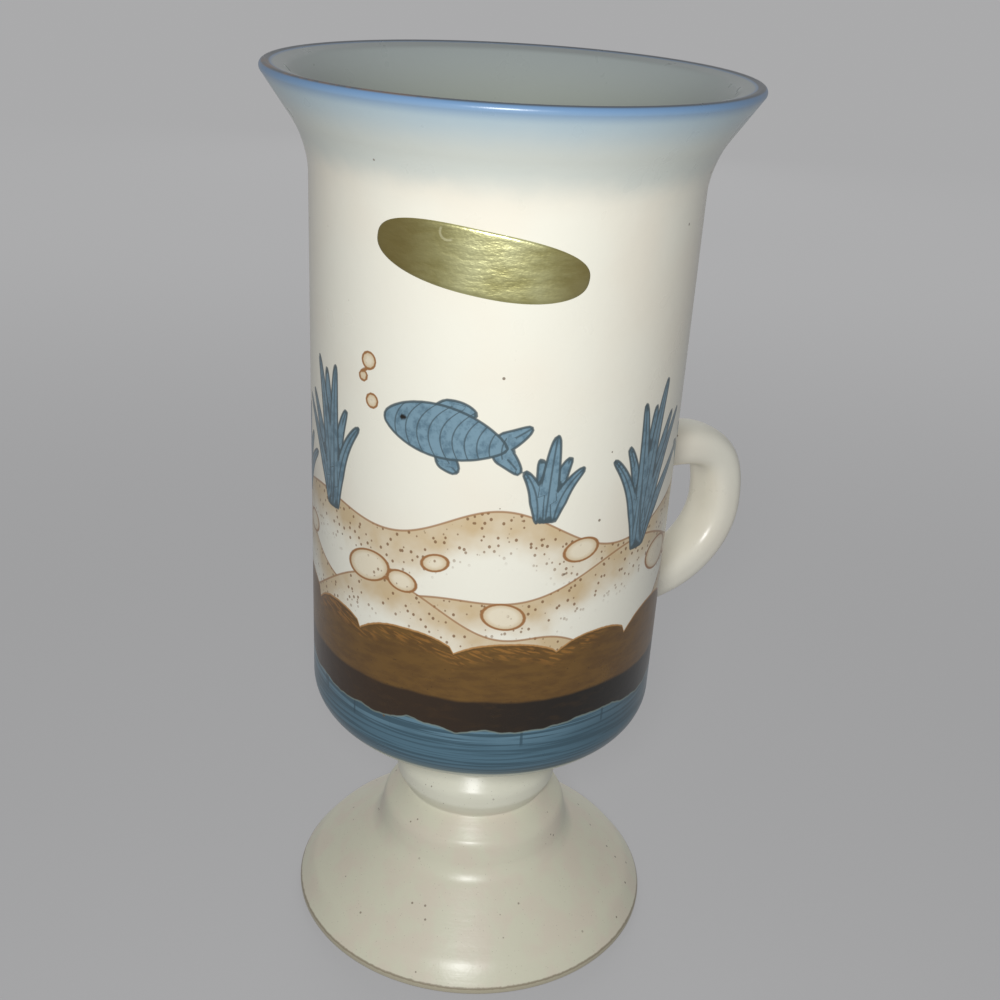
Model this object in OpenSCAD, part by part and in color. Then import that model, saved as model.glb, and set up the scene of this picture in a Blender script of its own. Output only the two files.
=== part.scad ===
// Pedestal mug: a tall straight cup with a flared rim on a turned stem and foot,
// with an ear-shaped handle, all one piece of glazed stoneware, and a foil label.
// Millimetres. The mug's axis is Z, it stands on Z = 0 and the handle points along +X.

/* [Cup] */
// Height of the cup, from its lower edge to the top of the lip
cup_h = 108.9; // [96:0.1:120]
// Outer radius of the wall at the cup's lower edge
wall_low_r = 30.2; // [29:0.1:31.5]
// Outer radius of the wall where the rim begins to flare
wall_top_r = 30.9; // [29.5:0.1:32.5]
// Thickness of the wall
wall_t = 3.4; // [2.8:0.1:4.2]
// Rounding of the cup's lower edge, outside
cup_edge_round = 7; // [5:0.5:9]
// Slope of the cup's underside, in degrees
underside_slope = 20; // [14:1:26]
// Thickness of the cup's floor beside its rounded edge
floor_t = 4.2; // [3:0.1:6]
// Depth of the shallow dish in the cup's floor
floor_dish = 0.8; // [0.2:0.1:1.5]
// Rounding between the floor and the wall, inside
floor_round = 8; // [5:0.5:11]

/* [Rim] */
// Height of the flare, down to where the wall's line would turn outwards
flare_h = 11.6; // [8:0.1:14]
// Angle of the flare to the mug's axis, in degrees
flare_angle = 34; // [24:1:38]
// Rounding between the wall and the flare, outside
flare_round = 16.8; // [10:0.1:22]
// Rounding of the lip's outer edge
lip_round = 0.8; // [0.5:0.05:1.1]
// Rounding of the lip's inner edge
lip_inner_round = 1.6; // [0.8:0.1:2]
// Fall of the lip's top towards the cup, in degrees
lip_fall = 14; // [6:1:20]

/* [Stem] */
// Radius of the neck under the cup
neck_r = 12.4; // [11.4:0.1:13.8]
// Radius where the neck's flare meets the cup's underside
root_r = 14.9; // [14:0.1:17]
// Height of the neck's flare
root_h = 5.8; // [4.5:0.1:8]
// Radius of the bead round the stem
bead_r = 14.8; // [14.3:0.1:15.6]
// Height of the bead's upper flank
bead_upper_h = 3; // [2.4:0.1:4]
// Height of the bead between its two flanks
bead_h = 2.6; // [2:0.1:3.6]
// Height of the bead's lower flank
bead_lower_h = 2.9; // [2.4:0.1:4.5]
// Radius of the groove under the bead, before it is rounded
groove_r = 13.1; // [12:0.1:14]
// Radius of the step under the groove
step_r = 17; // [15.8:0.1:17.6]
// Height from the step up to the groove
step_rise = 3.8; // [3:0.1:5]
// Height of the step's side
step_h = 5.3; // [4.4:0.1:7]

/* [Foot] */
// Radius of the foot
foot_r = 33; // [31:0.1:36]
// Height of the foot's upright edge
foot_edge_h = 1.1; // [0.9:0.1:2]
// Distance of the foot's shoulder inside its edge
shoulder_in = 2.6; // [1.8:0.1:3.6]
// Rise of the foot from its edge to its shoulder
shoulder_h = 3.3; // [2.6:0.1:4.2]
// Rise of the foot from its shoulder to the stem
slope_h = 9.7; // [8:0.1:12]
// Radius where the foot's slope meets the stem
slope_top_r = 18; // [17.7:0.1:19.5]
// Width of the flat ring that the mug stands on, before its edges are rounded
ring_w = 4.4; // [3.4:0.1:6]
// Rounding of the ring's two edges
ring_round = 0.5; // [0.3:0.05:0.7]
// Height of the hollow under the foot
hollow_h = 10; // [7:0.1:12]
// Radius of the hollow's flat top
hollow_top_r = 14; // [10:0.1:16]

/* [Handle] */
// Height of the handle's upper root above the cup's lower edge, at its centre line
handle_upper_z = 42.6; // [40:0.1:48]
// Height of the handle's lower root above the cup's lower edge, at its centre line
handle_lower_z = 14.7; // [13.5:0.1:18]
// Reach of the handle's centre line from the wall
handle_out = 19.1; // [16:0.1:24]
// Height of the handle's furthest point above the cup's lower edge
handle_far_z = 29.8; // [27:0.1:33]
// Length of the centre line's level start at the upper root
upper_pull = 13.2; // [10:0.1:16]
// Length of the centre line's upright run above its furthest point
shoulder_pull = 13.6; // [9:0.1:15]
// Length of the centre line's upright run below its furthest point
heel_pull = 7.2; // [4:0.1:10]
// Length of the centre line's level end at the lower root
lower_pull = 14.2; // [10:0.1:16]
// Thickness of the handle
handle_t = 7.6; // [6.6:0.1:9]
// Width of the handle
handle_w = 10.6; // [9:0.1:13]
// Squareness of the handle's section, where 2 is an oval
handle_square = 2.6; // [2:0.1:3.4]
// Growth of the handle's section at the wall, on each side
root_flare = 2.2; // [1:0.1:3]
// Distance over which that growth fades
root_fade = 1.9; // [1:0.1:3]

/* [Label] */
// Length of the label along the wall
label_l = 31.8; // [24:0.1:36]
// Height of the label at its middle
label_h = 9.3; // [7:0.1:12]
// Thickness of the foil
label_t = 0.15; // [0.1:0.01:0.3]
// Gap between the label's top and the start of the flare
label_gap = 0.4; // [0.2:0.1:20]
// Bearing of the label's centre round the mug, in degrees from the handle
label_bearing = -126; // [-150:1:-60]
// Tilt of the label, in degrees
label_tilt = -8; // [-12:0.5:12]
// Squareness of the label, where 2 is an oval
label_square = 2.5; // [2:0.1:4]

/* [Hidden] */
$fn = 96;

glaze = [0.9, 0.87, 0.79];
foil = [0.56, 0.52, 0.3];

arc_step = 8;
edge_round = 0.9;
shoulder_share = 2.6;
slope_share = 1.05;
step_share = 0.6;
groove_round = 0.4;
bead_low_share = 0.8;
bead_high_share = 0.95;
neck_round = 1.2;
root_round = 3.5;
hollow_round = 4;
wall_bite = 1.6;
ring_count = 44;
ring_crowding = 0.08;
side_count = 28;
bend_fade = 9;
label_sides = 48;
label_depth = 6;

shoulder_round = shoulder_share * shoulder_h;
slope_round = slope_share * step_h;
step_round = step_share * step_h;
bead_low_round = bead_low_share * bead_h;
bead_high_round = bead_high_share * bead_h;

shoulder_z = foot_edge_h + shoulder_h;
slope_top_z = shoulder_z + slope_h;
step_z = slope_top_z + step_h;
groove_z = step_z + step_rise;
bead_low_z = groove_z + bead_lower_h;
bead_high_z = bead_low_z + bead_h;
neck_z = bead_high_z + bead_upper_h;
root_z = neck_z + root_h;
cup_z = root_z + (wall_low_r - root_r) * tan(underside_slope);
mug_h = cup_z + cup_h;
flare_z = mug_h - flare_h;
inner_flare_z = flare_z + wall_t * tan(flare_angle / 2);
edge_drop = cup_edge_round * tan(45 - underside_slope / 2) * sin(underside_slope);
floor_z = cup_z - edge_drop + floor_t;
lip_middle_z = mug_h - lip_round;
lip_middle_r = wall_top_r + (lip_middle_z - flare_z) * tan(flare_angle) - lip_round / cos(flare_angle);
lip_crown = [lip_middle_r - lip_round * sin(lip_fall), lip_middle_z + lip_round * cos(lip_fall)];
lip_out = meet([wall_top_r, flare_z], 90 - flare_angle, lip_crown, lip_fall);
lip_in = meet([wall_top_r - wall_t, inner_flare_z], 90 - flare_angle, lip_crown, lip_fall);
flare_start_z = flare_z - flare_round * tan(flare_angle / 2);
handle_upper = cup_z + handle_upper_z;
handle_lower = cup_z + handle_lower_z;
handle_far = cup_z + handle_far_z;

// Outer radius of the straight wall at a height
function wall_r(z) = wall_low_r + (wall_top_r - wall_low_r) * (z - cup_z) / (flare_z - cup_z);

function unit(v) = v / norm(v);
function turn_of(a, b) = atan2(a.x * b.y - a.y * b.x, a * b);

// The point where a line from p at angle a meets a line from q at angle b
function meet(p, a, q, b) =
    let (d = [cos(a), sin(a)], e = [cos(b), sin(b)], w = q - p)
    p + d * (w.x * e.y - w.y * e.x) / (d.x * e.y - d.y * e.x);

// The points of an arc that rounds the corner b between a and c
function rounding(a, b, c, r) =
    let (
        u = unit(a - b),
        v = unit(c - b),
        half = acos(u * v) / 2,
        middle = b + unit(u + v) * r / sin(half),
        start = b + u * r / tan(half) - middle,
        end = b + v * r / tan(half) - middle,
        swing = turn_of(start, end),
        steps = max(2, ceil(abs(swing) / arc_step))
    )
    [for (i = [0:steps]) middle + turned(start, swing * i / steps)];

function turned(v, angle) = [v.x * cos(angle) - v.y * sin(angle), v.x * sin(angle) + v.y * cos(angle)];

function flat(p) = [p.x, p.y];

// An outline of corners [x, y, rounding], rounded where the rounding isn't 0
function rounded(corners) =
    let (n = len(corners))
    [for (i = [0:n - 1]) each
        corners[i].z == 0
            ? [flat(corners[i])]
            : rounding(
                flat(corners[(i + n - 1) % n]), flat(corners[i]), flat(corners[(i + 1) % n]), corners[i].z)];

foot_corners = [
    [foot_r - ring_w, 0, ring_round],
    [foot_r, 0, ring_round],
    [foot_r, foot_edge_h, edge_round],
    [foot_r - shoulder_in, shoulder_z, shoulder_round],
    [slope_top_r, slope_top_z, slope_round]];

stem_corners = [
    [step_r, step_z, step_round],
    [groove_r, groove_z, groove_round],
    [bead_r, bead_low_z, bead_low_round],
    [bead_r, bead_high_z, bead_high_round],
    [neck_r, neck_z, neck_round],
    [root_r, root_z, root_round]];

cup_corners = [
    [wall_low_r, cup_z, cup_edge_round],
    [wall_top_r, flare_z, flare_round],
    [lip_out.x, lip_out.y, lip_round],
    [lip_in.x, lip_in.y, lip_inner_round],
    [wall_top_r - wall_t, inner_flare_z, flare_round + wall_t],
    [wall_low_r - wall_t, floor_z, floor_round],
    [0, floor_z - floor_dish, 0]];

hollow_corners = [
    [0, hollow_h, 0],
    [hollow_top_r, hollow_h, hollow_round]];

module turned_body() {
    rotate_extrude()
        polygon(rounded(concat(foot_corners, stem_corners, cup_corners, hollow_corners)));
}

// The handle's centre line is two curves that meet upright at its furthest point
function bezier(p, t) =
    p[0] * pow(1 - t, 3) + p[1] * 3 * t * pow(1 - t, 2) + p[2] * 3 * t * t * (1 - t) + p[3] * pow(t, 3);

upper_root = [wall_r(handle_upper) - wall_bite, handle_upper];
lower_root = [wall_r(handle_lower) - wall_bite, handle_lower];
far_point = [wall_r(handle_far) + handle_out, handle_far];
upper_curve = [
    upper_root,
    upper_root + [upper_pull, 0],
    far_point + [0, shoulder_pull],
    far_point];
lower_curve = [
    far_point,
    far_point - [0, heel_pull],
    lower_root + [lower_pull, 0],
    lower_root];

function centre_line(t) = t < 0.5 ? bezier(upper_curve, 2 * t) : bezier(lower_curve, 2 * t - 1);
function heading(t) = unit(centre_line(min(1, t + 0.01)) - centre_line(max(0, t - 0.01)));

// Rings lie closer together near the wall, where the section grows
function ring_place(i) = let (s = i / (ring_count - 1)) s - ring_crowding * sin(360 * s);

// A section keeps its size away from the wall and grows as it comes near
function growth(gap) = root_flare * exp(-max(gap, 0) / root_fade);

function power_arc(angle, square) =
    [sign(cos(angle)) * pow(abs(cos(angle)), 2 / square), sign(sin(angle)) * pow(abs(sin(angle)), 2 / square)];

// Near the wall a ring is bent to follow the wall's curve
function bent(p) =
    let (share = min(1, max(0, 1 - (p.x - wall_low_r) / bend_fade)))
    [p.x - share * (p.x - sqrt(p.x * p.x - p.y * p.y)), p.y, p.z];

function ring_point(centre, along, angle) =
    let (
        grown = growth(centre.x - wall_r(centre.y)),
        side = power_arc(angle, handle_square),
        out = side.x * (handle_t / 2 + grown)
    )
    bent([
        centre.x - along.y * out,
        side.y * (handle_w / 2 + grown),
        centre.y + along.x * out]);

module ear() {
    rings = [for (i = [0:ring_count - 1])
        let (t = ring_place(i), centre = centre_line(t), along = heading(t))
        [for (k = [0:side_count - 1]) ring_point(centre, along, 360 * k / side_count)]];
    points = [for (ring = rings) each ring];
    last = (ring_count - 1) * side_count;
    sides = [for (i = [0:ring_count - 2], k = [0:side_count - 1])
        let (a = i * side_count + k, b = i * side_count + (k + 1) % side_count)
        each [[a, b, b + side_count], [a, b + side_count, a + side_count]]];
    first_cap = [for (k = [side_count - 1:-1:0]) k];
    last_cap = [for (k = [0:side_count - 1]) last + k];
    polyhedron(points, concat(sides, [first_cap, last_cap]));
}

module mug() {
    color(glaze) {
        turned_body();
        ear();
    }
}

// The label's flat outline, as it looks from straight in front of it
half_angle = label_l / 2 / wall_top_r * 180 / PI;
label_points = [for (k = [0:label_sides - 1])
    let (p = power_arc(360 * k / label_sides, label_square))
    turned([p.x * wall_top_r * sin(half_angle), p.y * label_h / 2], label_tilt)];
label_centre_z = flare_start_z - label_gap - max([for (p = label_points) p.y]);

// A skin of foil that lies on the straight wall
module foil_skin() {
    low = cup_z + cup_edge_round;
    translate([0, 0, low])
        difference() {
            cylinder(h = flare_z - low, r1 = wall_r(low) + label_t, r2 = wall_r(flare_z) + label_t);
            cylinder(h = flare_z - low, r1 = wall_r(low), r2 = wall_r(flare_z));
        }
}

module foil_label() {
    color(foil)
        intersection() {
            foil_skin();
            rotate([0, 0, label_bearing])
                translate([wall_top_r - label_depth, 0, label_centre_z])
                    rotate([90, 0, 90])
                        linear_extrude(2 * label_depth) polygon(label_points);
        }
}

mug();
foil_label();
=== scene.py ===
import math

import bmesh
import bpy
from mathutils import Matrix, Vector


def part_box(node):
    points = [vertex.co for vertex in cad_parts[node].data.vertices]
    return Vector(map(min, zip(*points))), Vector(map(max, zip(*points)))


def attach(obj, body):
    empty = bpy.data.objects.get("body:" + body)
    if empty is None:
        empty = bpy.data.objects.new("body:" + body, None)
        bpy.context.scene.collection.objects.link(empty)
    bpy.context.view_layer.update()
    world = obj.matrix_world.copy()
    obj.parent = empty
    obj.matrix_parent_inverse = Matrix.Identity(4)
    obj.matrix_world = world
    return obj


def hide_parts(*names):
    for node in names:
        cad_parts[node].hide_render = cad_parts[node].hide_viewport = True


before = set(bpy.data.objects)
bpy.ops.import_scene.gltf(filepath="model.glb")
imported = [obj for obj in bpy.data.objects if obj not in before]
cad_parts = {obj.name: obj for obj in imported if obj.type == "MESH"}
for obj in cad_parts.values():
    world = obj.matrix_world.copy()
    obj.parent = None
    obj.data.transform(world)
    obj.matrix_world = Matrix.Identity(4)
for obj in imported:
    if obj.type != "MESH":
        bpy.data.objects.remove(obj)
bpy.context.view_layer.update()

mm = 0.001
scene = bpy.context.scene

# The camera stands where the photo was taken from: level distances are from the mug's axis
cameraSet = {
    "distance": 0.2111,
    "height": 0.17595,
    "bearing": 30.0,           # degrees round the mug from its -Y side
    "turn": 0.46,              # degrees that it looks to the right of the axis
    "pitch": 24.35,            # degrees that it looks down
    "roll": 3.36,              # degrees that it was held askew
    "lens": 48.27,
    "sensor": 36.0,
}


def makeCamera(c):
    data = bpy.data.cameras.new("camera")
    data.lens = c["lens"]
    data.sensor_width = c["sensor"]
    data.clip_start = 0.01
    camera = bpy.data.objects.new("camera", data)
    scene.collection.objects.link(camera)
    bearing = math.radians(c["bearing"])
    place = Vector((-math.sin(bearing) * c["distance"], -math.cos(bearing) * c["distance"], c["height"]))
    heading = Matrix.Rotation(-bearing - math.radians(c["turn"]), 4, "Z")
    pitch = Matrix.Rotation(math.radians(90 - c["pitch"]), 4, "X")
    roll = Matrix.Rotation(math.radians(c["roll"]), 4, "Z")
    camera.matrix_world = Matrix.Translation(place) @ heading @ pitch @ roll
    scene.camera = camera


makeCamera(cameraSet)
print("camera placed")


# Shader maths: a Val holds a socket, and an expression on Vals adds its Math nodes
class Val:
    def __init__(self, graph, socket):
        self.graph = graph
        self.socket = socket

    def __add__(self, other):
        return self.graph.math("ADD", self, other)

    def __radd__(self, other):
        return self.graph.math("ADD", other, self)

    def __sub__(self, other):
        return self.graph.math("SUBTRACT", self, other)

    def __rsub__(self, other):
        return self.graph.math("SUBTRACT", other, self)

    def __mul__(self, other):
        return self.graph.math("MULTIPLY", self, other)

    def __rmul__(self, other):
        return self.graph.math("MULTIPLY", other, self)

    def __truediv__(self, other):
        return self.graph.math("DIVIDE", self, other)

    def __pow__(self, other):
        return self.graph.math("POWER", self, other)

    def __abs__(self):
        return self.graph.math("ABSOLUTE", self)


# The nodes of a material, or of the world
class Graph:
    def __init__(self, owner):
        owner.use_nodes = True
        self.owner = owner
        self.tree = owner.node_tree
        self.tree.nodes.clear()

    # Any node: its type, its settings, the values or links of its sockets, and the output that is used
    def node(self, kind, settings=None, inputs=None, output=0):
        made = self.tree.nodes.new(kind)
        count = len(self.tree.nodes) - 1
        made.location = (count % 20 * 200, -(count // 20) * 260)
        for key, value in (settings or {}).items():
            setattr(made, key, value)
        for key, value in (inputs or {}).items():
            if isinstance(value, Val):
                self.tree.links.new(value.socket, made.inputs[key])
            else:
                made.inputs[key].default_value = value
        return None if output is None else Val(self, made.outputs[output])

    def math(self, operation, *values):
        return self.node("ShaderNodeMath", {"operation": operation}, dict(enumerate(values)))

    # 0 where x is at start or beyond it, 1 at end, and eased between; end may lie below start
    def rise(self, x, start, end):
        inputs = {"Value": x, "From Min": start, "From Max": end}
        return self.node("ShaderNodeMapRange", {"interpolation_type": "SMOOTHSTEP"}, inputs)

    # 1 along the line where x is 0, as wide as width on both sides together
    def line(self, x, width, soft=0.12):
        return self.rise(abs(x), width / 2 + soft, width / 2)

    def mix(self, share, first, second):
        return self.node("ShaderNodeMix", {"data_type": "RGBA"}, {0: share, 6: first, 7: second}, 2)

    def noise(self, vector, size, detail=2.0, rough=0.5):
        inputs = {"Vector": vector, "Scale": 1 / size, "Detail": detail, "Roughness": rough}
        return self.node("ShaderNodeTexNoise", {}, inputs)

    # Round specks of up to this size, one at most in each cell
    def specks(self, vector, cell, size, soft=0.3):
        cells = self.node("ShaderNodeTexVoronoi", {}, {"Vector": vector, "Scale": 1 / cell}, "Distance")
        return self.rise(cells * cell, size / 2, size / 2 * (1 - soft))

    def field(self, name):
        return self.node("ShaderNodeAttribute", {"attribute_name": name}, {}, "Fac")

    def place(self, scale, turn=0.0):
        point = self.node("ShaderNodeTexCoord", {}, {}, "Object")
        inputs = {"Vector": point, "Rotation": (0, 0, math.radians(turn)), "Scale": (scale, scale, scale)}
        return self.node("ShaderNodeMapping", {}, inputs)

    def stretched(self, vector, x, y, z):
        return self.node("ShaderNodeMapping", {}, {"Vector": vector, "Scale": (x, y, z)})

    def separate(self, vector):
        node = self.node("ShaderNodeSeparateXYZ", {}, {"Vector": vector}).socket.node
        return [Val(self, socket) for socket in node.outputs]

    def bump(self, height, distance, strength=1.0):
        inputs = {"Height": height, "Distance": distance, "Strength": strength}
        return self.node("ShaderNodeBump", {}, inputs)

    def surface(self, inputs):
        shader = self.node("ShaderNodeBsdfPrincipled", {}, inputs)
        self.node("ShaderNodeOutputMaterial", {}, {"Surface": shader}, None)
        return self.owner


# A colour as it looks on screen, as the linear values that a socket holds
def paint(red, green, blue):
    shares = [c / 255 for c in (red, green, blue)]
    return tuple(c / 12.92 if c <= 0.04045 else ((c + 0.055) / 1.055) ** 2.4 for c in shares) + (1.0,)


# The mug's turned shape in millimetres: each corner is its radius, its height and its rounding
mugSet = {
    "foot": [(28.6, 0, 0.5), (33, 0, 0.5), (33, 1.1, 0.9), (30.4, 4.4, 8.58), (18, 14.1, 5.56)],
    "stem": [(17, 19.4, 3.18), (13.1, 23.2, 0.4), (14.8, 26.1, 2.08), (14.8, 28.7, 2.47), (12.4, 31.7, 1.2),
             (14.9, 37.5, 3.5)],
    "hollow": [(0, 10, 0), (14, 10, 4)],
    "cupLow": 43.07,           # the wall's line, from here up to where the rim flares
    "lowRadius": 30.2,
    "flareStart": 140.37,
    "topRadius": 30.9,
    "wall": 3.4,
    "edgeRound": 7.0,
    "flareRound": 16.8,
    "flareAngle": 34.0,
    "lipRound": 0.8,
    "lipInnerRound": 1.6,
    "lipFall": 14.0,
    "floor": 45.59,
    "floorRound": 8.0,
    "floorDish": 0.8,
    "columns": 300,            # steps of the full turn
    "arcStep": 6.0,            # degrees of a rounding to each step
    "paintTop": 118.0,         # up to here the wall has a row at each rowStep, to carry the painting
    "rowStep": 0.6,
    "upperRowStep": 2.4,
}
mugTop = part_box("mug")[1][2] / mm


# Radius of the wall's line at a height
def wallRadius(height):
    m = mugSet
    share = (height - m["cupLow"]) / (m["flareStart"] - m["cupLow"])
    return m["lowRadius"] + (m["topRadius"] - m["lowRadius"]) * share


def heading(degrees):
    angle = math.radians(degrees)
    return Vector((math.cos(angle), math.sin(angle)))


# Where a line from one point at an angle meets a line from another
def meet(first, firstAngle, second, secondAngle):
    ways = [heading(firstAngle), heading(secondAngle)]
    gap = Vector(second) - Vector(first)
    return Vector(first) + ways[0] * gap.cross(ways[1]) / ways[0].cross(ways[1])


def lipMiddle(m):
    angle = math.radians(m["flareAngle"])
    height = mugTop - m["lipRound"]
    out = (height - m["flareStart"]) * math.tan(angle)
    return Vector((m["topRadius"] + out - m["lipRound"] / math.cos(angle), height))


# The lip's round edge is two corners that share one middle, and its inner edge is a third
def lipCorners(m):
    flare = 90 - m["flareAngle"]
    middle = lipMiddle(m)
    first, last = flare - 90, 90 + m["lipFall"]
    quarter = (last - first) / 4
    reach = m["lipRound"] / math.cos(math.radians(quarter))
    outer = [middle + heading(first + quarter) * reach, middle + heading(last - quarter) * reach]
    crown = middle + heading(last) * m["lipRound"]
    innerStart = m["flareStart"] + m["wall"] * math.tan(math.radians(m["flareAngle"] / 2))
    inner = meet(crown, m["lipFall"], (m["topRadius"] - m["wall"], innerStart), flare)
    corners = [(p.x, p.y, m["lipRound"]) for p in outer] + [(inner.x, inner.y, m["lipInnerRound"])]
    return corners + [(m["topRadius"] - m["wall"], innerStart, m["flareRound"] + m["wall"])]


# Rounds a corner of the outline; the bevel's middle then lies where a true arc's middle would
def roundCorner(bm, vert, radius, arcStep):
    ends = [edge.other_vert(vert).co for edge in vert.link_edges]
    turn = math.pi - (ends[0] - vert.co).angle(ends[1] - vert.co)
    offset = radius * (1 / math.cos(turn / 2) - 1) / ((2 - math.sqrt(2)) * math.sin(turn / 2))
    segments = max(2, round(math.degrees(turn) / arcStep))
    bmesh.ops.bevel(bm, geom=[vert], offset=offset * mm, offset_type="OFFSET", segments=segments,
                    profile=0.5, affect="VERTICES", material=-1)


# Divides the wall's line above the painting's top, or below it
def divideWall(bm, m, side, step):
    top = min(bm.verts, key=lambda v: abs(v.co.z / mm - m["paintTop"]) + abs(v.co.x / mm - m["topRadius"]))
    edge = max(top.link_edges, key=lambda e: side * e.other_vert(top).co.z)
    bmesh.ops.bisect_edges(bm, edges=[edge], cuts=round(edge.calc_length() / mm / step) - 1)


def turnMug(bm, m):
    wall = [(m["lowRadius"], m["cupLow"], m["edgeRound"]), (wallRadius(m["paintTop"]), m["paintTop"], 0),
            (m["topRadius"], m["flareStart"], m["flareRound"])]
    inside = [(m["lowRadius"] - m["wall"], m["floor"], m["floorRound"]), (0, m["floor"] - m["floorDish"], 0)]
    corners = m["hollow"] + m["foot"] + m["stem"] + wall + lipCorners(m) + inside
    verts = [bm.verts.new((r * mm, 0, z * mm)) for r, z, _ in corners]
    for start, end in zip(verts, verts[1:]):
        bm.edges.new((start, end))
    for vert, (_, _, radius) in zip(verts, corners):
        if radius:
            roundCorner(bm, vert, radius, m["arcStep"])
    divideWall(bm, m, 1, m["upperRowStep"])
    divideWall(bm, m, -1, m["rowStep"])
    bmesh.ops.spin(bm, geom=bm.verts[:] + bm.edges[:], cent=(0, 0, 0), axis=(0, 0, 1), dvec=(0, 0, 0),
                   angle=2 * math.pi, steps=m["columns"], use_merge=True, use_duplicate=False)
    bmesh.ops.remove_doubles(bm, verts=bm.verts[:], dist=1e-7)
    bmesh.ops.recalc_face_normals(bm, faces=bm.faces[:])


# The handle: a centre line of two curves, and a section that widens into the wall
handleSet = {
    "upper": 85.67,            # heights of the centre line at its roots and at its furthest point
    "far": 72.87,
    "lower": 57.77,
    "out": 19.1,               # reach of the centre line from the wall
    "pulls": (13.2, 13.6, 7.2, 14.2),
    "bite": 1.6,               # depth in the wall at which the curves start
    "thick": 7.6,
    "wide": 10.6,
    "square": 2.6,             # squareness of the section, where 2 is an oval
    "samples": 400,            # points along each of the two curves
    "fillet": 2.4,             # growth of the section at the wall, on each side
    "filletRun": 5.0,          # distance over which it fades
    "filletSteps": 8,
    "step": 1.0,               # distance between the sections
    "fade": 9.0,               # distance over which the sections stop following the wall's curve
    "holeColumns": 15,         # half the size of the patch that is opened in the wall for a root
    "holeRows": 14,
    "closing": (0.3, 0.6, 0.85, 1.0),    # shares of the way in from the patch's rim at which rings lie
}


def handleLine(h):
    points = []
    far = Vector((wallRadius(h["far"]) + h["out"], h["far"]))
    upper = Vector((wallRadius(h["upper"]) - h["bite"], h["upper"]))
    lower = Vector((wallRadius(h["lower"]) - h["bite"], h["lower"]))
    first, second, third, last = h["pulls"]
    curves = [(upper, upper + Vector((first, 0)), far + Vector((0, second)), far),
              (far, far - Vector((0, third)), lower + Vector((last, 0)), lower)]
    for a, b, c, d in curves:
        for i in range(h["samples"]):
            t = i / h["samples"]
            points.append(a * (1 - t) ** 3 + b * 3 * t * (1 - t) ** 2 + c * 3 * t * t * (1 - t) + d * t ** 3)
    return [p for p in points if p.x > wallRadius(p.y)]


# A point of the section at polar angle a round the centre line, on the wall where gap is 0
def sectionPoint(h, centre, along, gap, end, angle):
    share = min(1.0, end / h["filletRun"])
    growth = h["fillet"] * (1 - math.sqrt(1 - (1 - share) ** 2))
    halves = (h["wide"] / 2 + growth, h["thick"] / 2 + growth)
    c, s = math.cos(angle), math.sin(angle)
    reach = (abs(c / halves[0]) ** h["square"] + abs(s / halves[1]) ** h["square"]) ** (-1 / h["square"])
    x, y, z = centre.x - along.y * s * reach, c * reach, centre.y + along.x * s * reach
    follow = max(0.0, 1 - gap / h["fade"])
    onWall = math.sqrt(max(0.0, (wallRadius(z) + gap) ** 2 - y * y))
    return Vector((x + (onWall - x) * follow, y, z)) * mm


def pullRing(bm, ring, places):
    edges = [bm.edges.get((a, b)) for a, b in zip(ring, ring[1:] + ring[:1])]
    made = bmesh.ops.extrude_edge_only(bm, edges=edges)["geom"]
    new = {item for item in made if isinstance(item, bmesh.types.BMVert)}
    pulled = [next(e.other_vert(v) for e in v.link_edges if e.other_vert(v) in new) for v in ring]
    for vert, place in zip(pulled, places):
        vert.co = place
    return pulled


# Opens a patch of the wall round a root, and returns its rim from the top round towards +Y, with its angles
def openWall(bm, h, height, flip):
    columnWidth = 2 * math.pi / mugSet["columns"]
    outside = wallRadius(0) - mugSet["wall"] / 2
    seam = [v.co / mm for v in bm.verts if abs(v.co.y) < 1e-7 and v.co.x > outside * mm]
    rows = sorted({round(p.z, 4) for p in seam if mugSet["cupLow"] + 4 < p.z < mugSet["paintTop"]})
    middle = min(range(len(rows)), key=lambda i: abs(rows[i] - height))
    low, high = rows[middle - h["holeRows"]], rows[middle + h["holeRows"]]
    faces = []
    for face in bm.faces:
        centre = face.calc_center_median() / mm
        across = abs(math.atan2(centre.y, centre.x)) / columnWidth
        if low < centre.z < high and across < h["holeColumns"] and math.hypot(centre.x, centre.y) > outside:
            faces.append(face)
    rim = {v for face in faces for v in face.verts}
    bmesh.ops.delete(bm, geom=faces, context="FACES")
    rim = [v for v in rim if v.is_valid and v.is_boundary]
    angles = {v: math.atan2(flip * (v.co.z / mm - height), v.co.y / mm) for v in rim}
    rim.sort(key=lambda v: (math.pi / 2 - angles[v] + 1e-6) % (2 * math.pi))
    return rim, [angles[v] for v in rim]


# Rings on the wall, from the patch's rim in to the foot of the fillet
def closeIn(bm, h, rim, angles, centre, along):
    foot = [sectionPoint(h, centre, along, 0, 0, a) for a in angles]
    starts = [v.co.copy() for v in rim]
    for share in h["closing"]:
        places = []
        for start, end in zip(starts, foot):
            place = start.lerp(end, share)
            radius = wallRadius(place.z / mm) * mm
            places.append(Vector((math.sqrt(radius ** 2 - place.y ** 2), place.y, place.z)))
        rim = pullRing(bm, rim, places)
    return rim


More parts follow.
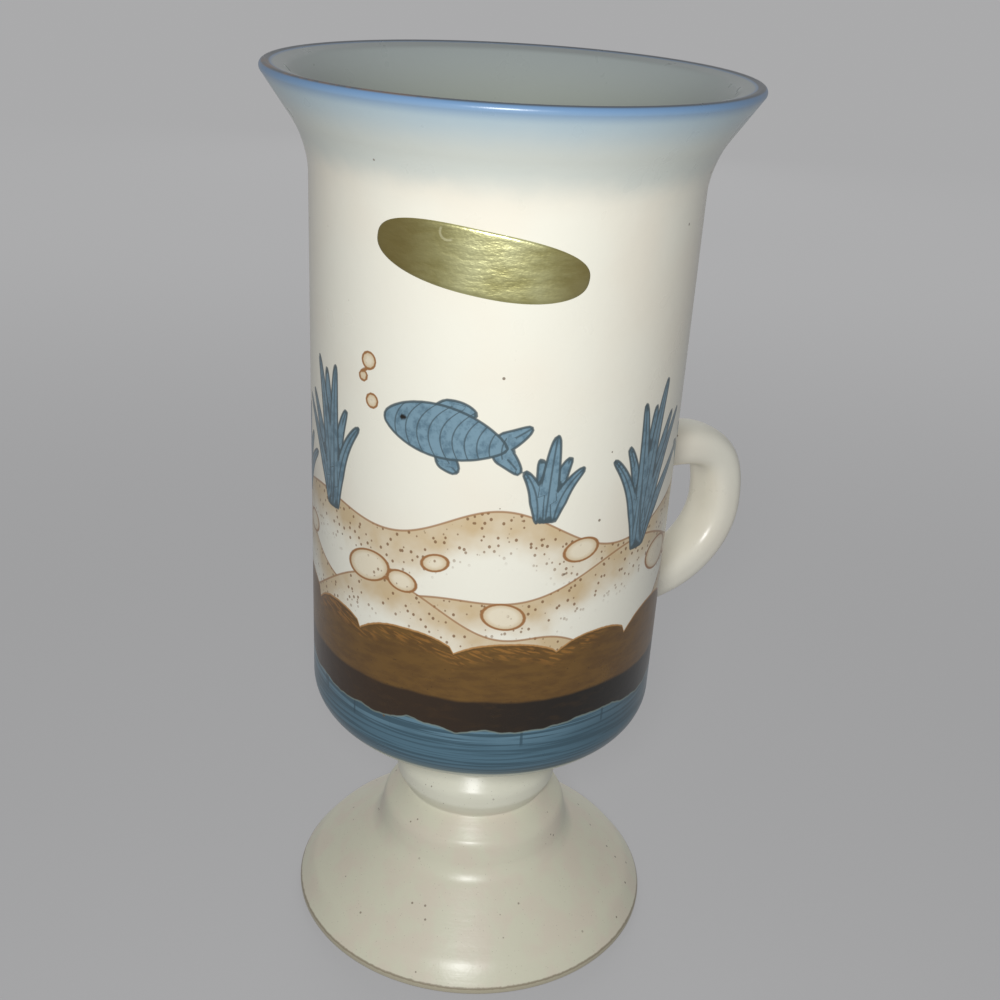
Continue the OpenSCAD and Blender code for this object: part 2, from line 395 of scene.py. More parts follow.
def drawHandle(bm, h):
    line = handleLine(h)
    lengths = [0.0]
    for a, b in zip(line, line[1:]):
        lengths.append(lengths[-1] + (b - a).length)
    total = lengths[-1]
    run = h["filletRun"]
    quarters = [math.pi / 2 * i / h["filletSteps"] for i in range(1, h["filletSteps"] + 1)]
    fillet = [run * (1 - math.cos(quarter)) for quarter in quarters]
    count = round((total - 2 * run) / h["step"])
    stations = fillet + [run + (total - 2 * run) * i / count for i in range(1, count)]
    stations += [total - s for s in reversed(fillet)]
    upper, angles = openWall(bm, h, h["upper"], 1)
    lower, lowerAngles = openWall(bm, h, h["lower"], -1)
    ring = closeIn(bm, h, upper, angles, line[0], Vector((1, 0)))
    lower = closeIn(bm, h, lower, lowerAngles, line[-1], Vector((-1, 0)))
    for station in stations:
        i = min(range(len(line)), key=lambda k: abs(lengths[k] - station))
        along = (line[min(i + 2, len(line) - 1)] - line[max(i - 2, 0)]).normalized()
        gap = line[i].x - wallRadius(line[i].y)
        end = min(station, total - station)
        ring = pullRing(bm, ring, [sectionPoint(h, line[i], along, gap, end, a) for a in angles])
    edges = [bm.edges.get((a, b)) for loop in (ring, lower) for a, b in zip(loop, loop[1:] + loop[:1])]
    bmesh.ops.bridge_loops(bm, edges=edges)
    bmesh.ops.recalc_face_normals(bm, faces=bm.faces[:])


# The operators leave points and faces in an order that changes from run to run: this settles it
def settleOrder(bm):
    points = {v: i for i, v in enumerate(sorted(bm.verts, key=lambda v: v.co.to_tuple(9)))}
    bm.verts.sort(key=lambda v: points[v])
    bm.verts.index_update()
    faces = {f: i for i, f in enumerate(sorted(bm.faces, key=lambda f: sorted(v.index for v in f.verts)))}
    bm.faces.sort(key=lambda f: faces[f])


def finishPiece(bm, name, material, node):
    settleOrder(bm)
    for face in bm.faces:
        face.smooth = True
    mesh = bpy.data.meshes.new(name)
    bm.to_mesh(mesh)
    bm.free()
    mesh.materials.append(material)
    piece = bpy.data.objects.new(name, mesh)
    scene.collection.objects.link(piece)
    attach(piece, "root")
    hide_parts(node)
    return piece


# The painting's motifs in millimetres: u runs round the wall from the front, v is the height
paintSet = {
    "radius": 30.5,            # of the wall, which turns an angle into u
    "front": -120.0,           # bearing of the front, in degrees from the handle
    "span": (34, 134),         # heights between which the wall's points hold the painting
    "handleSpan": (48, 100),   # heights between which points off the wall are the handle's
    "column": 4.0,             # width of the columns in which points are looked up
    "markPitch": 2.4,          # a mark is drawn wherever its field is a multiple of this
    "nowhere": 60.0,           # what a field holds where the painting has nothing
    # The valleys between the brown band's hills
    "valleys": [-85, -67, -51, -34.5, -22, -5, 11.5, 26, 41, 57, 76, 91],
    "hillBase": 66.9,
    "hills": [3.1, 2.4, 3.3, 2.6, 3.2, 2.5, 2.9, 3.4, 2.3, 3.0, 2.6, 3.3],
    # Each ridge of ground is a list of humps: middle, half width and height, over its own base
    "far": (80.0, [(-78, 22, 9), (-31, 17, 8), (2, 15, 12), (44, 20, 9), (92, 14, 11)]),
    "middle": (70.0, [(-95, 16, 12), (-52, 19, 15), (-8, 14, 6), (27, 20, 14), (71, 17, 15)]),
    "near": (62.0, [(-74, 16, 15), (-17, 20, 16), (12, 9, 6), (50, 18, 16), (93, 12, 13)]),
    # Tufts of leaves: root, height of the tallest leaf, number of leaves, spread of the tips and lean
    "tufts": [(-29, 86.5, 25, 7, 17, -2), (27, 83, 27, 8, 20, 3), (8.5, 91, 13, 5, 9, 1),
              (-43, 84, 15, 5, 11, 2), (-70, 88, 26, 7, 18, 2), (-92, 84, 17, 6, 13, -1),
              (46, 88, 15, 5, 11, -2), (77, 84, 24, 7, 16, -2)],
    # Fish: middle, length, and turn in degrees
    "fish": [(-6, 103.5, 21, 172), (53, 107, 15, 8), (-54, 101, 17, 176), (90, 106, 19, 4)],
    # Pebbles: middle, half width, half height and turn
    "pebbles": [(-20, 79, 4.2, 2.6, 12), (-13.5, 78.2, 2.6, 1.7, -8), (3, 74.3, 3.4, 2.2, -10),
                (15, 85, 3.0, 1.9, 8), (35, 78.5, 4.4, 2.8, -6), (41.5, 77.3, 2.4, 1.5, 10),
                (-38, 79.5, 2.8, 1.8, 4), (-60, 78, 4.2, 2.6, 8), (-83, 79, 3.2, 2.0, -12),
                (65, 81, 3.6, 2.3, 4), (84, 78, 4.4, 2.7, -8), (-8, 82.6, 2.2, 1.4, 15)],
    # Bubbles: middle and radius
    "bubbles": [(-19.5, 106.5, 1.1), (-21.3, 110, 0.8), (-20.2, 112.6, 1.3), (61.8, 110, 1.0),
                (63.2, 113, 0.7)],
}


def around(u, middle):
    turn = 2 * math.pi * paintSet["radius"]
    return (u - middle + turn / 2) % turn - turn / 2


def hillTop(u):
    p = paintSet
    turn = 2 * math.pi * p["radius"]
    valleys = p["valleys"] + [p["valleys"][0] + turn]
    u = p["valleys"][0] + (u - p["valleys"][0]) % turn
    for start, end, height in zip(valleys, valleys[1:], p["hills"]):
        if start <= u <= end:
            s = 2 * (u - start) / (end - start) - 1
            return p["hillBase"] + height * (1 - abs(s - 0.12) ** 2.4 / 1.12 ** 2.4)
    return p["hillBase"]


def ridgeTop(name, u):
    base, humps = paintSet[name]
    return base + sum(h * math.exp(-(around(u, middle) / width) ** 2) for middle, width, h in humps)


# A stroke of the brush: samples along a curve of three points, each with its half width
def brushStroke(start, bend, end, widths, steps=22):
    start, bend, end = Vector(start), Vector(bend), Vector(end)
    samples = []
    for i in range(steps + 1):
        t = i / steps
        samples.append((start * (1 - t) ** 2 + bend * 2 * t * (1 - t) + end * t * t, widths(t)))
    return samples


def leafWidth(wide):
    return lambda t: 0.36 + wide * min(1.0, (t / 0.35) ** 0.7 if t < 0.35 else ((1 - t) / 0.65) ** 0.6)


# Distance of a point outside a stroke, with how far it lies to the side of the stroke's middle line
def strokeDistance(place, stroke):
    best = (1e9, 0.0)
    for (a, widthA), (b, widthB) in zip(stroke, stroke[1:]):
        way = b - a
        t = min(1.0, max(0.0, (place - a).dot(way) / way.length_squared))
        off = place - a - way * t
        distance = off.length - widthA - (widthB - widthA) * t
        if distance < best[0]:
            best = (distance, way.normalized().cross(off))
    return best


def turned(place, angle):
    c, s = math.cos(angle), math.sin(angle)
    return Vector((place[0] * c - place[1] * s, place[0] * s + place[1] * c))


# A shape is its layer, its box in u and v, and a function of a point that gives distance and mark
def strokeShape(layer, stroke, across=None):
    reach = max(width for _, width in stroke) + 3
    low = Vector((min(p.x for p, _ in stroke) - reach, min(p.y for p, _ in stroke) - reach))
    high = Vector((max(p.x for p, _ in stroke) + reach, max(p.y for p, _ in stroke) + reach))

    def measure(place):
        distance, side = strokeDistance(place, stroke)
        return distance, (across(place) if across else side)
    return layer, low, high, measure


# An oval has no marks inside: its mark's field stays half way between two of them
def ovalShape(layer, middle, wide, high, turn):
    reach = max(wide, high) + 3

    def measure(place):
        local = turned(place - middle, -turn)
        distance = (math.hypot(local.x / wide, local.y / high) - 1) * min(wide, high)
        return distance, paintSet["markPitch"] / 2
    return layer, middle - Vector((reach, reach)), middle + Vector((reach, reach)), measure


def tuftShapes(root, foot, height, count, spread, lean):
    shapes = []
    for i in range(count):
        share = 2 * i / (count - 1) - 1
        tall = height * (1 - 0.42 * abs(share) ** 1.4) * (0.86 if i % 2 else 1.0)
        start = Vector((root + 1.3 * share, foot - 0.3))
        end = Vector((root + share * spread / 2 + lean, foot + tall))
        bend = start.lerp(end, 0.5) + Vector((-share * spread * 0.16 - 0.1 * lean, tall * 0.12))
        stroke = brushStroke(start, bend, end, leafWidth(0.75 + 0.3 * (1 - abs(share))))
        shapes.append(strokeShape("leafFront" if i % 2 == 0 else "leafBack", stroke))
    return shapes


def fishShapes(u, v, length, turn):
    middle, angle = Vector((u, v)), math.radians(turn)

    def at(along, up):
        upright = -1 if math.cos(angle) < 0 else 1
        return middle + turned((along * length, up * length * upright), angle)
    body = brushStroke(at(-0.36, 0), at(0.05, 0.04), at(0.5, 0),
                       lambda t: length * (0.03 + 0.165 * math.sin(math.pi * min(1, t ** 1.15)) ** 0.75))

    def stripes(place):
        local = turned(place - middle, -angle)
        return local.x * 1.3 + 0.16 * local.y ** 2

    fin = leafWidth(0.055 * length)
    return [
        strokeShape("leafFront", body, stripes),
        strokeShape("leafBack", brushStroke(at(-0.3, 0.01), at(-0.4, 0.06), at(-0.52, 0.17), fin)),
        strokeShape("leafBack", brushStroke(at(-0.3, -0.01), at(-0.4, -0.06), at(-0.5, -0.16), fin)),
        strokeShape("leafBack", brushStroke(at(0.18, 0.13), at(0.02, 0.25), at(-0.12, 0.2), fin)),
        strokeShape("leafBack", brushStroke(at(0.08, -0.14), at(-0.02, -0.2), at(-0.06, -0.24), fin)),
        ovalShape("ink", at(0.38, 0.035), 0.55, 0.55, 0)]


def paintingShapes(p):
    shapes = []
    for tuft in p["tufts"]:
        shapes += tuftShapes(*tuft)
    for fish in p["fish"]:
        shapes += fishShapes(*fish)
    for u, v, wide, high, turn in p["pebbles"]:
        shapes.append(ovalShape("pebble", Vector((u, v)), wide, high, math.radians(turn)))
    for u, v, radius in p["bubbles"]:
        shapes.append(ovalShape("pebble", Vector((u, v)), radius, radius, 0))
    return shapes


# The painting is kept on the wall's points: each layer's distance outside its shapes, and the marks inside
def storePainting(mesh, p):
    none = p["nowhere"]
    bottom, top = p["span"]
    handleLow, handleHigh = p["handleSpan"]
    count = len(mesh.vertices)
    layers = ("leafBack", "leafFront", "pebble", "ink", "mark")
    ridges = ("far", "middle", "near")
    fields = {name: [none] * count for name in layers + ridges + ("brownTop", "handle")}
    nearest = [none] * count
    columns = {}
    for i, vert in enumerate(mesh.vertices):
        x, y, z = vert.co / mm
        radius = math.hypot(x, y)
        fields["handle"][i] = radius - wallRadius(z) if handleLow < z < handleHigh else 0.0
        inward = z > mugSet["floor"] - 0.4 and radius < wallRadius(z) - mugSet["wall"] / 2
        if inward or not bottom <= z <= top:
            continue
        u = around(math.radians(math.degrees(math.atan2(y, x)) - p["front"]) * p["radius"], 0)
        fields["brownTop"][i] = z - hillTop(u)
        if z > p["hillBase"] - 10:
            for name in ridges:
                fields[name][i] = z - ridgeTop(name, u)
        if p["hillBase"] - 2 < z < mugSet["paintTop"]:
            columns.setdefault(round(u / p["column"]), []).append((i, u, z))
    for layer, low, high, measure in paintingShapes(p):
        for column in range(round(low.x / p["column"]) - 1, round(high.x / p["column"]) + 2):
            for i, u, z in columns.get(round(around(column * p["column"], 0) / p["column"]), []):
                near = low.x + around(u, low.x)
                if low.x <= near <= high.x and low.y <= z <= high.y:
                    distance, mark = measure(Vector((near, z)))
                    fields[layer][i] = min(fields[layer][i], distance)
                    order = distance - (3 if layer == "leafFront" else 0)
                    if distance < 1 and order < nearest[i]:
                        nearest[i] = order
                        fields["mark"][i] = mark
    for name, values in fields.items():
        mesh.attributes.new(name, "FLOAT", "POINT").data.foreach_set("value", values)


# Glazes and paints, as they look on screen
colours = {
    "cream": paint(240, 238, 224),
    "creamWarm": paint(238, 230, 213),
    "stem": paint(230, 229, 211),
    "oat": paint(222, 220, 198),
    "oatWarm": paint(223, 215, 196),
    "inside": paint(196, 203, 191),
    "insideEdge": paint(156, 165, 171),
    "rimPale": paint(204, 211, 205),
    "rimSoft": paint(166, 191, 206),
    "rimBlue": paint(100, 139, 182),
    "crown": paint(86, 94, 102),
    "rimWorn": paint(128, 104, 84),
    "brown": paint(110, 80, 34),
    "brownDark": paint(96, 68, 29),
    "gold": paint(158, 110, 48),
    "bandEdge": paint(186, 138, 82),
    "spot": paint(58, 24, 16),
    "dark": paint(52, 35, 17),
    "darkest": paint(24, 19, 13),
    "edgeGlaze": paint(130, 142, 132),
    "blue": paint(80, 113, 130),
    "blueDeep": paint(46, 73, 86),
    "blueLight": paint(104, 138, 156),
    "sand": paint(206, 184, 146),
    "sandDot": paint(126, 92, 58),
    "sandLine": paint(158, 112, 68),
    "leaf": paint(120, 150, 166),
    "leafDark": paint(92, 120, 136),
    "leafLine": paint(68, 84, 90),
    "pebble": paint(232, 222, 198),
    "speck": paint(104, 84, 62),
    "footSide": paint(190, 183, 160),
    "clay": paint(186, 172, 150),
}


def sandLayer(g, colour, ridge, cloud, dots, fade):
    c = colours
    under = g.rise(ridge, 0.12, -0.12)
    wash = g.rise(ridge + (cloud - 0.5) * 7, -fade, -0.5)
    colour = g.mix(under, colour, c["cream"])
    colour = g.mix(under * wash * (0.5 + 0.8 * cloud), colour, c["sand"])
    dotted = g.rise(ridge + (cloud - 0.5) * 4, -fade * 1.15, -fade * 0.5)
    colour = g.mix(under * dotted * dots * 0.85, colour, c["sandDot"])
    return g.mix(g.line(ridge, 0.2, 0.16) * 0.8, colour, c["sandLine"])


def leafLayer(g, colour, name, mottle, marks):
    c = colours
    edge = g.field(name)
    fill = g.mix(g.rise(mottle, 0.42, 0.68), c["leaf"], c["leafDark"])
    fill = g.mix(marks * 0.75, fill, c["leafLine"])
    colour = g.mix(g.rise(edge, 0.14, -0.1), colour, fill)
    return g.mix(g.line(edge, 0.24, 0.16) * 0.9, colour, c["leafLine"])


# Dunes, leaves, fish and pebbles
def paintScene(g, colour, place, cloud):
    c = colours
    dots = g.specks(g.stretched(place, 1, 1, 0.85), 1.02, 0.56)
    for name, fade in (("far", 9), ("middle", 8), ("near", 8)):
        colour = sandLayer(g, colour, g.field(name), cloud, dots, fade)
    pitch = paintSet["markPitch"]
    marks = g.field("mark") / pitch
    marks = g.line((marks - g.math("ROUND", marks)) * pitch, 0.16, 0.14)
    mottle = g.noise(place, 1.6, 3, 0.65)
    for name in ("leafBack", "leafFront"):
        colour = leafLayer(g, colour, name, mottle, marks)
    stone = g.field("pebble")
    pebble = g.mix(g.rise(stone, -0.9, -0.1) * 0.7, c["pebble"], c["sand"])
    pebble = g.mix(g.rise(stone, -0.5, -0.8) * dots * g.rise(cloud, 0.4, 0.55) * 0.7, pebble, c["sandDot"])
    colour = g.mix(g.rise(stone, 0.12, -0.1), colour, pebble)
    colour = g.mix(g.line(stone, 0.18, 0.16), colour, c["sandLine"])
    return g.mix(g.rise(g.field("ink"), 0.15, -0.15), colour, c["darkest"])


# Heights of the bands: each pair is where a change starts and where it is complete
bandSet = {
    "dark": (59.1, 58.4),      # from the brown down to the dark band
    "blue": 53.25,             # the wavy line between the dark band and the blue
    "wave": 4.4,               # height of that line's waves
    "light": (49.8, 52.6),     # lighter brush marks up in the blue
    "ticks": (50.2, 51.2),     # upright ticks in it
    "deep": (47, 40),          # deeper blue under the cup
}


# The bands: brown hills, a dark band, and blue over the cup's lower edge, the dark band and the blue with
# painted shade towards +Y
def paintBands(g, place, x, y, z, top, broad):
    c = colours
    b = bandSet
    grain = g.noise(g.stretched(place, 0.5, 0.5, 1.6), 2.2, 4, 0.65)
    brown = g.mix(g.rise(grain, 0.36, 0.66), c["brown"], c["brownDark"])
    slanted = g.node("ShaderNodeCombineXYZ", {}, {"X": x * 0.3, "Y": y * 0.3, "Z": z * 1.6 + y * 0.5})
    brush = g.rise(g.noise(slanted, 0.7, 2, 0.5), 0.48, 0.64)
    crest = g.rise(top, -3.8, -1.6) * g.rise(top, -0.3, -0.7) * g.rise(broad, 0.42, 0.54)
    brown = g.mix(brush * crest * 0.7, brown, c["gold"])
    brown = g.mix(g.specks(place, 1.5, 0.32) * 0.5, brown, c["dark"])
    brown = g.mix(g.specks(g.stretched(place, 1, 1, 0.6), 14.0, 1.5, 0.7) * 0.85, brown, c["spot"])

    # Painted shade: the dark band turns darker towards +Y, the right-hand side as the camera sees it
    dark = g.mix(g.rise(y, -20, 20), c["dark"], c["darkest"])
    dark = g.mix(g.rise(grain, 0.5, 0.7) * 0.12, dark, c["brownDark"])
    scallop = g.noise(g.stretched(place, 1, 1, 0.02), 9.0, 3)
    brown = g.mix(g.rise(z + (scallop - 0.5) * 1.2, *b["dark"]), brown, dark)

    # Turning lines are as close on the curve under the cup as on the wall
    radius = (x * x + y * y) ** 0.5
    along = z + g.math("MINIMUM", radius - mugSet["lowRadius"], 0.0) * 0.7
    turning = g.node("ShaderNodeCombineXYZ", {}, {"X": x * 0.02, "Y": y * 0.02, "Z": along})
    lines = g.noise(turning, 0.62, 2, 0.6)
    low = z + (scallop - 0.5) * b["wave"]
    ticks = g.rise(g.noise(g.stretched(place, 1, 1, 0.03), 1.5, 1), 0.66, 0.69) * g.rise(low, *b["ticks"])
    blue = g.mix(g.rise(lines, 0.45, 0.56) * 0.65, c["blue"], c["blueDeep"])
    blue = g.mix(g.rise(low, *b["light"]) * g.rise(lines, 0.56, 0.46) * 0.7, blue, c["blueLight"])
    blue = g.mix(g.rise(along, *b["deep"]) * 0.45, blue, c["blueDeep"])
    # Painted shade: the blue deepens towards +Y, the right-hand side as the camera sees it
    blue = g.mix(g.rise(y, 6, 26) * 0.45, blue, c["blueDeep"])
    blue = g.mix(ticks * 0.7, blue, c["blueDeep"])
    band = g.mix(g.rise(low, b["blue"] + 0.15, b["blue"] - 0.05), brown, blue)
    band = g.mix(g.line(low - b["blue"], 0.14, 0.16) * 0.6, band, c["edgeGlaze"])
    return g.mix(g.line(top, 0.2, 0.2) * 0.9, band, c["bandEdge"])


# The rim's airbrushed blue, the lip's dark crown, worn at the front left, and the inside's duller glaze
def paintRim(g, colour, x, y, z, cloud, fine):
    c = colours
    radius = (x * x + y * y) ** 0.5
    slope = math.tan(math.radians(mugSet["flareAngle"]))
    flared = g.math("MAXIMUM", z - mugSet["flareStart"] - 0.5, 0.0) * slope
    middle = radius - (wallRadius(90) - mugSet["wall"] / 2) - flared
    inside = g.rise(middle, 0.3, -0.3) * g.rise(z, 42, 43)
    fall = mugTop - z
    colour = g.mix(g.rise(fall + (cloud - 0.5) * 2.5, 14.5, 9.5) * 0.85, colour, c["rimPale"])
    colour = g.mix(g.rise(fall + (cloud - 0.5), 8, 1.2) * 0.8, colour, c["rimSoft"])
    colour = g.mix(g.rise(fall, 2.7, 0.2) * 0.9, colour, c["rimBlue"])
    hollow = g.mix(g.rise(fall, 13, 0.5) * 0.65, c["inside"], c["insideEdge"])
    colour = g.mix(inside, colour, hollow)
    crest = lipMiddle(mugSet).x
    crown = g.line(radius - crest + 0.12, 0.9, 0.3) * g.rise(fall, 1.4, 1.1)
    worn = g.rise(y, -6, -16) * g.rise(x, 2, 10) * g.rise(fine + (cloud - 0.5), 0.46, 0.56)
    return g.mix(crown, colour, g.mix(worn * 0.8, c["crown"], c["rimWorn"]))


# Heights at which the glaze changes down the mug, as pairs in the same way
glazeSet = {
    "stem": (44, 38),
    "foot": (25.4, 22.6),
    "specked": (46, 30),       # finer specks and a rougher skin down the stem
    "ringed": (60, 44),        # turning rings that can be felt
    "clearOfRim": (146, 142),
    "glazeEnd": 1.25,          # the glaze ends this high above the standing ring
    "ring": (30, 32),          # radii between which the ring's edge begins
}


def glazedStoneware():
    g = Graph(bpy.data.materials.new("glazed_stoneware"))
    h = glazeSet
    c = colours
    place = g.place(1 / mm, -paintSet["front"])
    x, y, z = g.separate(place)
    radius = (x * x + y * y) ** 0.5
    cloud = g.noise(place, 6.0, 3)
    broad = g.noise(place, 26.0, 2)
    fine = g.noise(place, 0.9, 3, 0.6)
    ring = g.noise(g.stretched(place, 0.04, 0.04, 1.0), 1.3, 3, 0.6)

    # The body's cream, a little warmer in places, and from the groove down the foot's duller oatmeal
    body = g.mix(g.rise(broad, 0.42, 0.7) * 0.6, c["cream"], c["creamWarm"])
    foot = g.mix(g.rise(cloud, 0.4, 0.62), c["oat"], c["oatWarm"])
    body = g.mix(g.rise(z, *h["stem"]), body, c["stem"])
    body = g.mix(g.rise(z, *h["foot"]), body, foot)

    # The picture and the bands lie on the wall, and the handle stays plain
    onWall = g.rise(g.field("handle"), 0.5, 0.12)
    top = g.field("brownTop") + (fine - 0.5) * 0.25
    banded = g.rise(top, 0.22, 0.0) * g.rise(radius, 17.5, 18.5) * onWall * g.rise(z, 36, 37)
    colour = g.mix(onWall, body, paintScene(g, body, place, cloud))
    colour = g.mix(banded, colour, paintBands(g, place, x, y, z, top, broad))
    colour = paintRim(g, colour, x, y, z, cloud, fine)

    # Iron specks, more of them down the stem and foot, and none at the rim
    sparse = g.rise(cloud, 0.46, 0.52)
    specked = g.rise(z, *h["specked"])
    colour = g.mix(g.specks(place, 6.5, 0.55) * g.rise(z, *h["clearOfRim"]) * 0.8, colour, c["speck"])
    colour = g.mix(g.specks(place, 2.9, 0.5) * sparse * specked * 0.7, colour, c["speck"])
    colour = g.mix(g.specks(place, 0.9, 0.2) * specked * 0.25, colour, c["speck"])

    # Bare clay where the mug stands and in the hollow under it, with a darker line where the glaze ends
    edge = z + (fine - 0.5) * 0.3
    end = h["glazeEnd"]
    outer = g.rise(radius, *h["ring"])
    colour = g.mix(g.rise(edge, end + 0.25, end - 0.05) * outer, colour, c["footSide"])
    colour = g.mix(g.line(edge - end, 0.12, 0.22) * outer * 0.5, colour, c["speck"])
    hollow = g.rise(radius + z * 1.8, 31.5, 31.0) * g.rise(z, 10.6, 10.2)
    bare = g.math("MAXIMUM", g.rise(edge, 0.35, 0.15), hollow)
    colour = g.mix(bare, colour, c["clay"])

    rough = 0.29 + 0.1 * (cloud - 0.5) + 0.04 * g.rise(z, 44, 40) + 0.4 * bare
    peel = g.noise(place, 0.5, 2) * specked
    height = 0.5 * g.noise(place, 2.4, 2) + 0.12 * fine + 0.5 * ring * g.rise(z, *h["ringed"]) + 0.16 * peel
    normal = g.bump(height, 0.00006)
    return g.surface({"Base Color": colour, "Roughness": rough, "IOR": 1.5, "Normal": normal})


mugMesh = bmesh.new()
turnMug(mugMesh, mugSet)
drawHandle(mugMesh, handleSet)
print("mug turned, with its handle")
mug = finishPiece(mugMesh, "mug_body", glazedStoneware(), "mug")
storePainting(mug.data, paintSet)
print("mug painted")


# The label: a skin of foil on the wall, a little creased
labelSet = {
    "length": 31.8,
    "height": 9.3,
    "thick": 0.14,
    "roundFrom": 0.9,          # its edge is rounded over from this share of its size
    "bearing": -126.0,         # degrees round the mug from the handle
    "tilt": -8.0,
    "square": 2.5,             # squareness of its outline, where 2 is an oval
    "lift": 0.02,              # gap between the wall and the foil's back
    "columns": 120,
    "rows": 40,
    # The crease is only drawn, as a painted glint along one side of it
    "crease": (-4.6, 133.5),   # middle of a small bent crease: to its side of the label's middle, and height
    "creaseRadius": 1.1,
    # Two tones of the foil, laid along the crinkles as painted sheen and shade
    "foil": (paint(168, 163, 108), paint(189, 186, 132)),
    "paintedSheen": paint(216, 216, 168),
    "paintedEndShade": paint(132, 116, 66),
    # Colour of the painted glint along the crease
    "creased": paint(226, 222, 178),
}


# Crinkled foil, brighter in patches from its middle on as a painted reflection, duller at both ends as
# painted shade
def labelFoil(s):
    g = Graph(bpy.data.materials.new("label_foil"))
    place = g.place(1 / mm, -s["bearing"])
    _, y, z = g.separate(place)
    crinkle = g.noise(g.stretched(place, 1, 0.5, 1.5), 2.2, 4, 0.62)
    fine = g.noise(place, 0.5, 2)
    patch = g.rise(g.noise(g.stretched(place, 1, 0.6, 1), 8.0, 2), 0.42, 0.62)
    # Painted sheen and shade: the foil's two tones follow the crinkles
    colour = g.mix(g.rise(crinkle, 0.34, 0.66), *s["foil"])
    # Painted reflection: brighter patches from the label's middle on
    colour = g.mix(patch * g.rise(y, -7, 0) * 0.6, colour, s["paintedSheen"])
    # Painted shade: the foil turns duller towards both ends
    ends = g.math("MAXIMUM", g.rise(y, -1, -13), g.rise(y, 7, 15) * 0.8)
    colour = g.mix(ends * 0.85, colour, s["paintedEndShade"])
    # Painted highlight: a glint along one side of a small crease
    across, high = s["crease"]
    bend = ((y - across) ** 2 + (z - high) ** 2) ** 0.5
    lower = g.rise(z + y, across + high, across + high - 0.6)
    crease = g.line(bend - s["creaseRadius"], 0.12, 0.2) * lower
    colour = g.mix(crease * 0.6, colour, s["creased"])
    rough = 0.34 + 0.16 * (fine - 0.5)
    return g.surface({"Base Color": colour, "Metallic": 0.75, "Roughness": rough,
                      "Normal": g.bump(crinkle + 0.15 * fine, 0.00012)})


def wrapLabel(bm, s):
    low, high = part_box("foil_label")
    middleHeight = (low[2] + high[2]) / 2 / mm
    bmesh.ops.create_grid(bm, x_segments=s["columns"], y_segments=s["rows"], size=1)
    for vert in bm.verts:
        u, v = abs(vert.co.x), abs(vert.co.y)
        size = (u ** s["square"] + v ** s["square"]) ** (1 / s["square"])
        vert.co *= max(u, v) / size if size else 0
    bmesh.ops.solidify(bm, geom=bm.faces[:], thickness=1.0)
    halfAngle = s["length"] / 2 / mugSet["topRadius"]
    floor = min(vert.co.z for vert in bm.verts)
    for vert in bm.verts:
        size = (abs(vert.co.x) ** s["square"] + abs(vert.co.y) ** s["square"]) ** (1 / s["square"])
        fallen = max(0.0, min(1.0, (size - s["roundFrom"]) / (1 - s["roundFrom"])))
        across = vert.co.x * mugSet["topRadius"] * math.sin(halfAngle)
        flat = turned((across, vert.co.y * s["height"] / 2), math.radians(s["tilt"]))
        height = middleHeight + flat.y
        angle = math.radians(s["bearing"]) + math.asin(flat.x / mugSet["topRadius"])
        thick = s["thick"] * math.sqrt(1.001 - fallen ** 2)
        out = wallRadius(height) + s["lift"] + (vert.co.z - floor) * thick
        vert.co = Vector((math.cos(angle) * out, math.sin(angle) * out, height)) * mm
    bmesh.ops.recalc_face_normals(bm, faces=bm.faces[:])


labelMesh = bmesh.new()
wrapLabel(labelMesh, labelSet)
finishPiece(labelMesh, "label", labelFoil(labelSet), "foil_label")
print("label wrapped")


# Studio: a wide pale floor, a lamp beside the camera, a softer one behind, and an even pale surround
studioSet = {
    "floorRadius": 12.0,
    "floor": paint(184, 184, 186),
    # Far from the mug the floor is seen evenly in this colour
    "floorSeen": paint(172, 172, 173),
    "evenFrom": 0.12,          # distances from the mug's axis between which that share grows
    "evenTo": 0.6,
    "evenShare": (0.62, 0.97),
    "surround": paint(170, 170, 171),
    "fill": 0.21,              # strength of the light from all round
    # Each lamp's bearing and rise, in degrees, and its distance are from the mug's middle; gloss shows
    # only a lamp that has shine
    "lamps": {
        "key": {"bearing": -122.5, "rise": 25.3, "distance": 0.243, "size": 0.05, "power": 0.37,
                "shine": True},
        "back": {"bearing": 60, "rise": 14, "distance": 0.8, "size": 0.5, "power": 3.0, "shine": False},
    },
}


# One shader lights the mug, and the camera, gloss and glass see the other, by the share
def seenApart(g, lighting, seen, share=None):
    camera, glossy, clear = [g.node("ShaderNodeLightPath", {}, {}, "Is " + ray + " Ray")
                             for ray in ("Camera", "Glossy", "Transmission")]
    looking = g.math("MAXIMUM", camera, g.math("MAXIMUM", glossy, clear))
    part = looking if share is None else looking * share
    return g.node("ShaderNodeMixShader", {}, {0: part, 1: lighting, 2: seen})


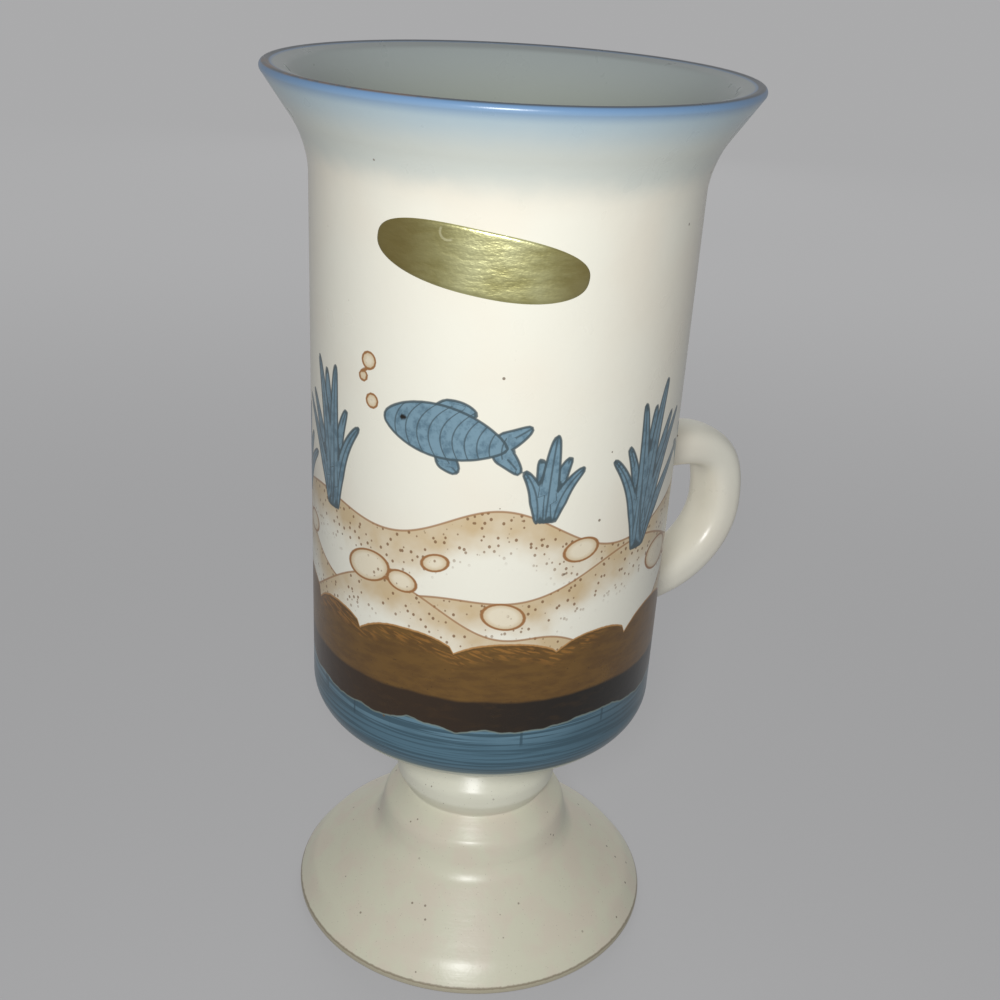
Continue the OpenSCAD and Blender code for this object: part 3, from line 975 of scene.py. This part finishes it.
def stageFloor(s):
    g = Graph(bpy.data.materials.new("floor"))
    x, y, _ = g.separate(g.node("ShaderNodeTexCoord", {}, {}, "Object"))
    far = g.rise((x * x + y * y) ** 0.5, s["evenFrom"], s["evenTo"])
    low, high = s["evenShare"]
    lit = g.node("ShaderNodeBsdfDiffuse", {}, {"Color": s["floor"]})
    even = g.node("ShaderNodeEmission", {}, {"Color": s["floorSeen"]})
    floorShader = seenApart(g, lit, even, low + far * (high - low))
    g.node("ShaderNodeOutputMaterial", {}, {"Surface": floorShader}, None)
    bm = bmesh.new()
    bmesh.ops.create_circle(bm, cap_ends=True, segments=96, radius=s["floorRadius"])
    mesh = bpy.data.meshes.new("floor")
    bm.to_mesh(mesh)
    bm.free()
    mesh.materials.append(g.owner)
    floor = bpy.data.objects.new("floor", mesh)
    scene.collection.objects.link(floor)


def hangLamp(name, s):
    bearing, rise = math.radians(s["bearing"]), math.radians(s["rise"])
    way = Vector((math.cos(bearing) * math.cos(rise), math.sin(bearing) * math.cos(rise), math.sin(rise)))
    lamp = bpy.data.lights.new(name, "AREA")
    lamp.shape = "DISK"
    lamp.size = s["size"]
    lamp.energy = s["power"]
    holder = bpy.data.objects.new(name, lamp)
    place = Matrix.Translation(Vector((0, 0, mugTop * mm / 2)) + way * s["distance"])
    holder.matrix_world = place @ way.to_track_quat("Z", "Y").to_matrix().to_4x4()
    holder.visible_camera = False
    holder.visible_glossy = s["shine"]
    scene.collection.objects.link(holder)


# The surround is seen paler than the light that it gives
def makeSurround(s):
    scene.world = bpy.data.worlds.new("surround")
    g = Graph(scene.world)
    fill = g.node("ShaderNodeBackground", {}, {"Color": (1, 1, 1, 1), "Strength": s["fill"]})
    pale = g.node("ShaderNodeBackground", {}, {"Color": s["surround"]})
    mixed = seenApart(g, fill, pale)
    g.node("ShaderNodeOutputWorld", {}, {"Surface": mixed}, None)


stageFloor(studioSet)
for lampName, lampSet in studioSet["lamps"].items():
    hangLamp(lampName, lampSet)
makeSurround(studioSet)
scene.view_settings.view_transform = "Standard"
print("studio lit")
